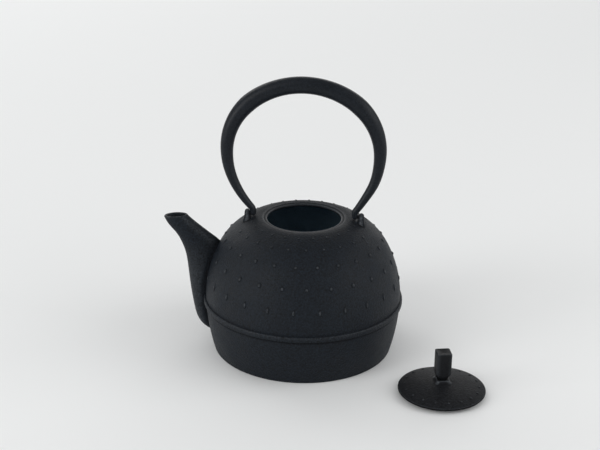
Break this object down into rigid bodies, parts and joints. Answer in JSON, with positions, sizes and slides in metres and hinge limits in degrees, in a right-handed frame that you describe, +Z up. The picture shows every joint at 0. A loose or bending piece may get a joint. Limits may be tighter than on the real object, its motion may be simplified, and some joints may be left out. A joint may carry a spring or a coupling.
{
  "type": "teapot",
  "caption": "Squat cast-iron teapot with a dotted dome, waist rib, beak spout and swinging bail, its round lid with a square knob lying beside it; brews and pours tea.",
  "frame": {"origin": "middle of the pot's flat base, on the surface that the pot stands on", "axes": "+Z up along the pot's axis, -X towards the spout, the bail swings about X, and the lid lies on the table towards +X and -Y"},
  "size_m": [0.2416, 0.176, 0.2097],
  "materials": {
    "pot_iron": "matte black, fine sandy casting grain",
    "bail_iron": "matte black, smooth",
    "lid_iron": "matte black, fine sandy casting grain",
    "knob_iron": "satin black, worn along the edges"
  },
  "bodies": {
    "pot": {"pot_body": "pot_iron"},
    "bail": {"bail_handle": "bail_iron"},
    "lid": {"lid_plate": "lid_iron", "knob_seat": "knob_iron"},
    "knob": {"lid_knob": "knob_iron"}
  },
  "joints": [
    {"name": "bail_swing", "type": "hinge", "parent": "pot", "child": "bail", "pos_m": [0, 0, 0.1046], "axis": [1, 0, 0], "range_deg": [-92, 92]},
    {"name": "lid_lift", "type": "slide", "parent": "pot", "child": "lid", "axis": [0, 0, 1], "range_m": [0, 0.12]},
    {"name": "knob_turn", "type": "hinge", "parent": "lid", "child": "knob", "pos_m": [0.10532, -0.06971, 0.02], "axis": [0, 0, 1], "continuous": true}
  ]
}
